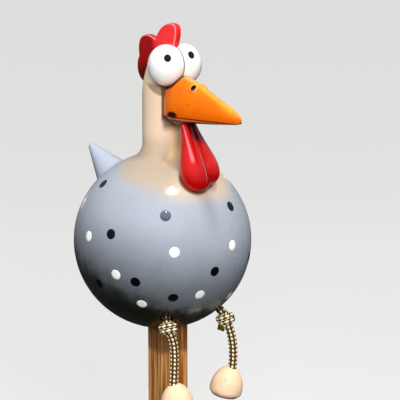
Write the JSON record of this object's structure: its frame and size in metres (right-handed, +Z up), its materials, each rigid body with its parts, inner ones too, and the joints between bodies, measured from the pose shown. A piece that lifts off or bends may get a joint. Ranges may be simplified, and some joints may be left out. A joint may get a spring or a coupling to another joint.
{
  "type": "resin chicken garden statue",
  "caption": "Round-bodied resin chicken on a square wooden garden stake, with hanging cord legs and small domed feet.",
  "frame": {"origin": "middle of the stake's bottom end, where it meets the ground", "axes": "+Z up along the stake; the chicken faces -Y, so its right side is -X"},
  "size_m": [0.1496, 0.2114, 0.4578],
  "materials": {
    "painted_resin": "gloss paint on cast resin",
    "timber": "bare sawn softwood",
    "cord": "braided cord, brown with cream flecks",
    "foot_resin": "matte paint on cast resin"
  },
  "bodies": {
    "root": {"chicken": "painted_resin", "stake": "timber", "leg_cord_right": "cord", "leg_knot_right": "cord", "foot_right": "foot_resin", "leg_cord_left": "cord", "leg_knot_left": "cord", "foot_left": "foot_resin"}
  },
  "joints": []
}
